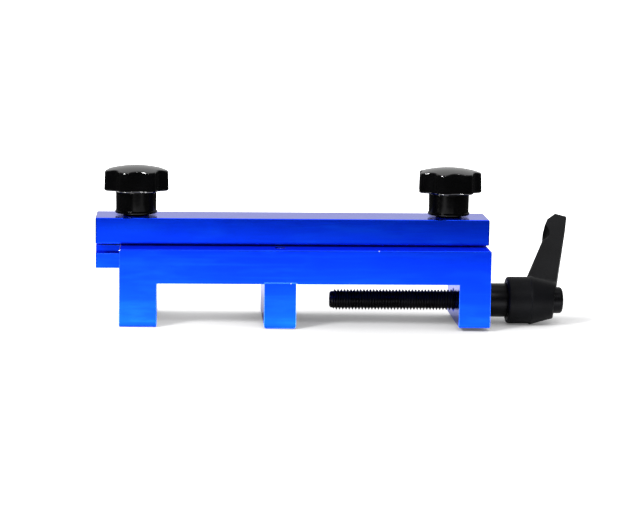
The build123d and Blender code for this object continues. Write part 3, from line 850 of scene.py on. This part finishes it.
def inset_poly(points, inset):
    """The polygon with every side moved inward."""
    pairs = list(zip(points, points[1:] + points[:1]))
    area = sum(x0 * y1 - x1 * y0 for (x0, y0), (x1, y1) in pairs)
    turn = 1 if area > 0 else -1
    lines = []
    for (x0, y0), (x1, y1) in pairs:
        d = math.hypot(x1 - x0, y1 - y0)
        nx, ny = -(y1 - y0) / d * turn, (x1 - x0) / d * turn
        lines.append(((x0 + nx * inset, y0 + ny * inset), ((x1 - x0) / d, (y1 - y0) / d)))
    corners = []
    for i, ((bx, by), (vx, vy)) in enumerate(lines):
        (ax, ay), (ux, uy) = lines[i - 1]
        k = ((bx - ax) * vy - (by - ay) * vx) / (ux * vy - uy * vx)
        corners.append((ax + ux * k, ay + uy * k))
    return corners


def smooth_min(a, b, width):
    h = np.clip(width - np.abs(a - b), 0, None) / width
    return np.minimum(a, b) - h * h * width / 4


def smooth_max(a, b, width):
    return -smooth_min(-a, -b, width)


# the arm leans from +Z towards +Y
ARM_LEAN = math.radians(68.0)
ALONG_ARM = np.array([0.0, math.sin(ARM_LEAN), math.cos(ARM_LEAN)])
ACROSS_ARM = np.array([0.0, -math.cos(ARM_LEAN), math.sin(ARM_LEAN)])
# outer face: x at the axis, and its rise along the arm
FACE_X, FACE_SLOPE = 107.18, 0.2215
HUB_START_X, HUB_R = 88.1, 9.03
HUB_ROUND, ARM_ROUND = 0.08, 0.5
# half outline of the hub: x, radius
HUB_INSET = inset_poly([
    (HUB_START_X, -1.0), (HUB_START_X, HUB_R), (96.83, HUB_R), (97.12, 9.34), (97.7, 9.31),
    (112.0, 5.45), (112.0, -1.0)], HUB_ROUND)
# outline of the arm: distance along the arm, x
ARM_INSET = inset_poly([
    (-4.0, 92.32), (38.5, 107.0), (43.2, 108.1), (49.2, 109.0), (57.4, 111.8), (62.2, 115.6),
    (59.45, 120.3), (-4.0, 106.25)], ARM_ROUND)
ARM_EDGE_R = 0.85
# finger stops: ellipsoid centre and half sizes along the arm, in x and across
SCOOP_AT, SCOOP_HALF, SCOOP_SCALE = (47.2, 107.6, 4.9), (7.6, 3.3, 3.4), 3.3


def lever_distance(along, x, across):
    """Signed distance to the lever, in mm along the arm, along X and across the arm."""
    r = np.sqrt(along * along + across * across)
    hub = poly_distance(x, r, HUB_INSET) - HUB_ROUND
    open_end = smooth_max(r - HUB_R, HUB_START_X - x, 1.3)
    hub = np.where(x < 92.0, np.maximum(hub, open_end), hub)
    # arm: thickness tapers to the tip, edges rolled over
    outline = poly_distance(along, x, ARM_INSET) - ARM_ROUND
    half_thick = 5.2 - 1.4 * np.clip(along, -8, 70) / 62.0
    wx, wy = outline + ARM_EDGE_R, np.abs(across) - half_thick + ARM_EDGE_R
    beyond = np.sqrt(np.maximum(wx, 0) ** 2 + np.maximum(wy, 0) ** 2)
    arm = np.minimum(np.maximum(wx, wy), 0) + beyond - ARM_EDGE_R
    body = smooth_min(hub, arm, 1.6)
    # finger stops: a shallow scoop across the inner edge on each flank
    for sign in (1, -1):
        scoop = np.sqrt(((along - SCOOP_AT[0]) / SCOOP_HALF[0]) ** 2
                        + ((x - SCOOP_AT[1]) / SCOOP_HALF[1]) ** 2
                        + ((across - sign * SCOOP_AT[2]) / SCOOP_HALF[2]) ** 2)
        body = smooth_max(body, (1 - scoop) * SCOOP_SCALE, 0.45)
    # one plane from the hub's end to the tip
    plane = (x - FACE_X - FACE_SLOPE * along) / math.sqrt(1 + FACE_SLOPE ** 2)
    return smooth_max(body, plane, 0.7)


def net_vertices(field, low, step):
    """One vertex in each cell that the surface crosses, and the grid of their indices."""
    inside = field < 0
    corners = list(itertools.product((0, 1), repeat=3))
    edges = [(p, q) for p in corners for q in corners
             if sum(abs(u - v) for u, v in zip(p, q)) == 1 and p < q]

    def part(values, corner):
        return values[tuple(slice(c, n - 1 + c) for c, n in zip(corner, values.shape))]

    cell_shape = tuple(n - 1 for n in field.shape)
    total = np.zeros(cell_shape + (3,))
    count = np.zeros(cell_shape)
    for p, q in edges:
        at_p, at_q = part(field, p), part(field, q)
        crossed = part(inside, p) != part(inside, q)
        t = np.where(crossed, at_p / np.where(crossed, at_p - at_q, 1), 0)
        for axis in range(3):
            total[..., axis] += np.where(crossed, p[axis] + t * (q[axis] - p[axis]), 0)
        count += crossed
    active = count > 0
    index = -np.ones(active.shape, int)
    index[active] = np.arange(active.sum())
    local = total[active] / count[active][:, None]
    return np.array(low) + step * (np.argwhere(active) + local), index


def net_faces(inside, index):
    """A quad around each grid edge that the surface crosses."""
    quads = []
    for axis in range(3):
        offset = [int(i == axis) for i in range(3)]
        near = inside[tuple(slice(0, n - o) for n, o in zip(inside.shape, offset))]
        far = inside[tuple(slice(o, None) for o in offset)]
        where = np.argwhere(near != far)
        u, v = [i for i in range(3) if i != axis]
        where = where[(where[:, u] > 0) & (where[:, v] > 0)
                      & (where[:, u] < index.shape[u]) & (where[:, v] < index.shape[v])]
        flip = near[tuple(where.T)]
        ids = []
        for du, dv in ((-1, -1), (0, -1), (0, 0), (-1, 0)):
            cell = where.copy()
            cell[:, u] += du
            cell[:, v] += dv
            ids.append(index[tuple(cell.T)])
        quad = np.stack(ids, 1)
        good = (quad >= 0).all(1)
        quad, flip = quad[good], flip[good]
        if axis == 1:
            flip = ~flip
        quad[~flip] = quad[~flip][:, ::-1]
        quads.append(quad)
    return np.concatenate(quads)


def settle(sample, verts, step, passes=3, probe=0.02):
    """Move the vertices onto the true surface, at most half a grid step in each pass."""
    for _ in range(passes):
        value = sample(*verts.T)
        gradient = np.stack([sample(*(verts + shift).T) - sample(*(verts - shift).T)
                             for shift in np.eye(3) * probe], 1) / (2 * probe)
        steepness = np.maximum((gradient * gradient).sum(1), 0.25)
        move = value[:, None] * gradient / steepness[:, None]
        size = np.linalg.norm(move, axis=1)
        verts -= move * np.minimum(1, 0.5 * step / np.maximum(size, 1e-9))[:, None]


def surface_net(sample, low, high, step):
    """A quad mesh of the surface where sample is 0."""
    xs, ys, zs = (a + step * np.arange(int(math.ceil((b - a) / step)) + 1)
                  for a, b in zip(low, high))
    grid_y, grid_z = np.meshgrid(ys, zs, indexing="ij")
    field = np.stack([sample(np.full(grid_y.shape, x), grid_y, grid_z) for x in xs])
    verts, index = net_vertices(field, low, step)
    quads = net_faces(field < 0, index)
    settle(sample, verts, step)
    return verts, quads


# the grid is closer in x where the hub has its ridge: grid x, true x
GRID_X, TRUE_X = (80.0, 96.4, 100.9, 127.7), (80.0, 96.4, 98.2, 125.0)
# counterbore, spring pocket, screw hole and head recess: radius, x
BORES = [(0.0, 86.0), (6.75, 86.0), (6.75, 89.3), (5.7, 89.3), (5.7, 97.0), (2.85, 97.0),
         (2.85, 99.0), (5.3, 99.0), (5.3, 116.0), (0.0, 116.0)]
TEETH = 24
TOOTH_X = (89.29, 92.7)
# one tooth: share of the pitch from its middle, radius
TOOTH = ((-0.37, 5.6), (-0.15, 6.3), (0.15, 6.3), (0.37, 5.6))


def lever_solid():
    verts, quads = surface_net(
        lambda along, grid_x, across: lever_distance(
            along, np.interp(grid_x, GRID_X, TRUE_X), across),
        low=(-10.6, 87.4, -10.6), high=(63.9, 124.1, 10.6), step=0.33)
    placed = verts[:, 0:1] * ALONG_ARM[None, :] + verts[:, 2:3] * ACROSS_ARM[None, :]
    placed[:, 0] = np.interp(verts[:, 1], GRID_X, TRUE_X)
    placed[:, 1] += AXIS_Y
    placed[:, 2] += AXIS_Z
    return make_object("lever_solid", placed.tolist(), quads.tolist())


def tooth_cutter():
    """A toothed prism for the indexing teeth."""
    pitch = 2 * math.pi / TEETH
    outline = []
    for i in range(TEETH):
        middle = 2 * math.pi * i / TEETH
        outline += [(r * math.sin(middle + share * pitch), r * math.cos(middle + share * pitch))
                    for share, r in TOOTH]
    verts = [(x, AXIS_Y + y, AXIS_Z + z) for x in TOOTH_X for y, z in outline]
    n = len(outline)
    faces = [(i, (i + 1) % n, n + (i + 1) % n, n + i) for i in range(n)]
    faces += [tuple(range(n)), tuple(range(2 * n - 1, n - 1, -1))]
    return make_object("lever_tooth_cut", verts, faces)


def lever():
    solid = lever_solid()
    bores = make_object("lever_bores", *lathe(BORES, "x", (0, AXIS_Y, AXIS_Z)))
    ob = boolean(solid, [bores, tooth_cutter()], "DIFFERENCE", "lever_casting", sharp_angle=40.0)
    stand_for(ob, "lever_handle", "lever", "lever_black")


lever()


# ---------------------------------------------------------------- stage
# where the fixture stands (mm): its left leg and the lever's hub
LEG_X, LEG_Z = -60.4, 0.3
HUB_X, HUB_REST_R = 97.1, 9.35
FLOOR_HALF = 9.0         # metres
FLOOR_GAP = 0.00002      # metres
# the sheet's painted glow in reflections: its least, then steps in y as start, end, gain
FLOOR_DIM = 0.06
FLOOR_STEPS = ((-0.32, -0.298, 0.8), (-0.26, -0.13, 1.3), (-0.13, -0.04, 1.6), (-0.06, -0.03, 1.2))
FLOOR_MIDDLE_X, FLOOR_BRIGHT_HALF_X, FLOOR_BRIGHT_Y = 0.015, 0.08, 0.07
WHITE = (1, 1, 1, 1)


def stage_paper():
    mat = new_material("stage_paper")
    grain = mat.noise(mat.coords(), scale=900.0, detail=3.0, rough=0.6)
    colour = mat.mix(mat.remap(grain, frm=(0.3, 0.7)),
                     low=(0.84, 0.84, 0.845, 1), high=(0.87, 0.87, 0.875, 1))
    paper = mat.source("BsdfDiffuse", 0, Color=colour)
    position = mat.source("NewGeometry", "Position")
    x, y, _ = mat.source("SeparateXYZ", slice(None), Vector=position)
    ray = mat.node("LightPath").outputs
    # painted light: in reflections the sheet is a glow instead of lit paper, brightest close to the
    # object and on the key light's side, and dim far off like a dim room
    near = 0.0
    for start, end, gain in FLOOR_STEPS:
        near = mat.add(near, mat.remap(y, frm=(start, end), to=(0.0, gain), smooth=True))
    near = mat.times(near, mat.remap(x, frm=(-0.08, 0.09), to=(1.3, 0.7)))
    off_middle = mat.math("ABSOLUTE", mat.math("SUBTRACT", x, FLOOR_MIDDLE_X))
    aside = mat.largest(mat.math("SUBTRACT", off_middle, FLOOR_BRIGHT_HALF_X),
                        mat.math("SUBTRACT", y, FLOOR_BRIGHT_Y))
    far = mat.remap(aside, frm=(0.03, 0.11), smooth=True)
    near = mat.add(mat.times(near, mat.math("SUBTRACT", 1.0, far)), FLOOR_DIM)
    reflected = mat.times(ray["Is Glossy Ray"],
                          mat.largest(far, mat.remap(y, frm=(-0.03, -0.015), to=FADE_OUT)))
    dim = mat.source("Emission", 0, Color=WHITE, Strength=near)
    # painted light: seen by the camera, the sheet gets an added glow that brightens it to plain white
    # away from the object, and more behind it and towards its left, which lightens its shadows there
    distance = mat.vector_math("DISTANCE", position, (0.045, 0.0, 0.0))
    away = mat.remap(distance, frm=(0.02, 0.45), to=(0.10, 0.62), smooth=True)
    away = mat.add(away, mat.remap(y, frm=(0.012, 0.026), to=(0.0, 0.42), smooth=True))
    away = mat.add(away, mat.remap(x, frm=(-0.04, 0.03), to=(0.22, 0.0), smooth=True))
    away = mat.times(ray["Is Camera Ray"], away)
    glow = mat.source("Emission", 0, Color=WHITE, Strength=away)
    lit = mat.fill(mat.node("AddShader"), paper, glow).outputs[0]
    return mat.finish(mat.mix_shader(reflected, low=lit, high=dim))


def stage_floor():
    """A pale sheet, tilted to pass under the leg and the hub."""
    tilt = math.atan2(LEG_Z - (AXIS_Z - HUB_REST_R), HUB_X - LEG_X)
    mesh = bpy.data.meshes.new("stage_floor")
    corners = ((-1, -1), (1, -1), (1, 1), (-1, 1))
    mesh.from_pydata([(LEG_X * MM + i * FLOOR_HALF * math.cos(tilt), j * FLOOR_HALF,
                       LEG_Z * MM - i * FLOOR_HALF * math.sin(tilt) - FLOOR_GAP)
                      for i, j in corners], [], [(0, 1, 2, 3)])
    ob = add_object("stage_floor", mesh)
    mesh.materials.append(stage_paper())


stage_floor()


# ---------------------------------------------------------------- lights (metres, watts)
def area(name, at, target, size, size_y, power):
    light = bpy.data.lights.new(name, "AREA")
    light.shape = "RECTANGLE"
    light.size = size
    light.size_y = size_y
    light.energy = power
    ob = add_object(name, light)
    ob.location = at
    ob.rotation_euler = (Vector(target) - Vector(at)).to_track_quat("-Z", "Y").to_euler()
    return ob


def knob_glints():
    """Small lights that only the knobs mirror."""
    knobs_only = bpy.data.collections.new("knobs_only")
    for side in SIDES:
        knobs_only.objects.link(bpy.data.objects[f"knob_{side}_moulding"])
    # a strip high in front on the left, and a white card low in front of each knob
    glints = [area("glint_strip", at=(-0.52, -0.66, 0.50), target=(0.0, 0.0, 0.04),
                   size=0.34, size_y=0.16, power=26.0)]
    for side in SIDES:
        lo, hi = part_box("knob_stud_" + side)
        stud_x = (lo.x + hi.x) / 2
        glints.append(area("glint_card_" + side, at=(stud_x - 0.026, -0.062, 0.004),
                           target=(stud_x, -0.006, 0.05), size=0.03, size_y=0.02, power=0.12))
    for ob in glints:
        ob.visible_diffuse = False
        ob.visible_camera = False
        ob.light_linking.receiver_collection = knobs_only


area("key_softbox", at=(-0.60, -0.62, 0.62), target=(0.0, 0.0, 0.02),
     size=0.22, size_y=0.3, power=7.0)
area("front_softbox", at=(0.12, -0.80, 0.80), target=(0.0, 0.0, 0.02),
     size=0.18, size_y=0.18, power=2.0)
knob_glints()

# strengths of the surroundings: in reflections by direction, and for diffuse light
ENV_BACK, ENV_TOP, ENV_OVERHEAD, ENV_FRONT, ENV_DIFFUSE = 0.72, 0.45, 1.8, 0.05, 0.95


def studio_world():
    """Reflections see a bright wall behind, a softer ceiling and a dim room in front."""
    world = bpy.data.worlds.new("studio")
    bpy.context.scene.world = world
    env = Graph(world, "OutputWorld", spare=())
    _, y, z = env.split("TexCoord", "Generated")
    back = env.remap(y, frm=(0.25, 0.7), to=(0.0, ENV_BACK), smooth=True)
    ceiling = env.remap(z, frm=(0.35, 0.9), to=(0.0, ENV_TOP), smooth=True)
    overhead = env.remap(z, frm=(0.93, 0.97), to=(0.0, ENV_OVERHEAD), smooth=True)
    glossy = env.largest(env.largest(env.largest(back, ceiling), overhead), ENV_FRONT)
    diffuse_ray = env.source("LightPath", "Is Diffuse Ray")
    strength = env.add(env.times(diffuse_ray, by=ENV_DIFFUSE),
                       env.times(env.math("SUBTRACT", 1.0, diffuse_ray), by=glossy))
    env.finish(env.source("Background", 0, Color=WHITE, Strength=strength))


studio_world()

# ---------------------------------------------------------------- camera and render
CAMERA_AT = (-0.03837734, -0.86015993, 0.15375938)
CAMERA_RIGHT = Vector((0.99825528, -0.0573673, 0.01397787))
CAMERA_DOWN = Vector((0.00531873, -0.14840242, -0.98891275))
CAMERA_FORWARD = Vector((0.0588056, 0.98726173, -0.14783838))


def camera():
    lens = bpy.data.cameras.new("photo_camera")
    lens.sensor_fit = "HORIZONTAL"
    lens.sensor_width = 36.0
    lens.lens = 131.1
    lens.clip_start = 0.01
    lens.clip_end = 50
    ob = add_object("photo_camera", lens)
    turn = Matrix((CAMERA_RIGHT, -CAMERA_DOWN, -CAMERA_FORWARD)).transposed().to_4x4()
    ob.matrix_world = Matrix.Translation(CAMERA_AT) @ turn
    bpy.context.scene.camera = ob


camera()

scene = bpy.context.scene
scene.view_settings.view_transform = "Standard"
scene.view_settings.look = "None"
scene.view_settings.exposure = 0.0
scene.view_settings.gamma = 1.0
scene.cycles.max_bounces = 10
scene.cycles.caustics_reflective = False
scene.cycles.caustics_refractive = False
scene.cycles.diffuse_bounces = 4
scene.cycles.glossy_bounces = 6
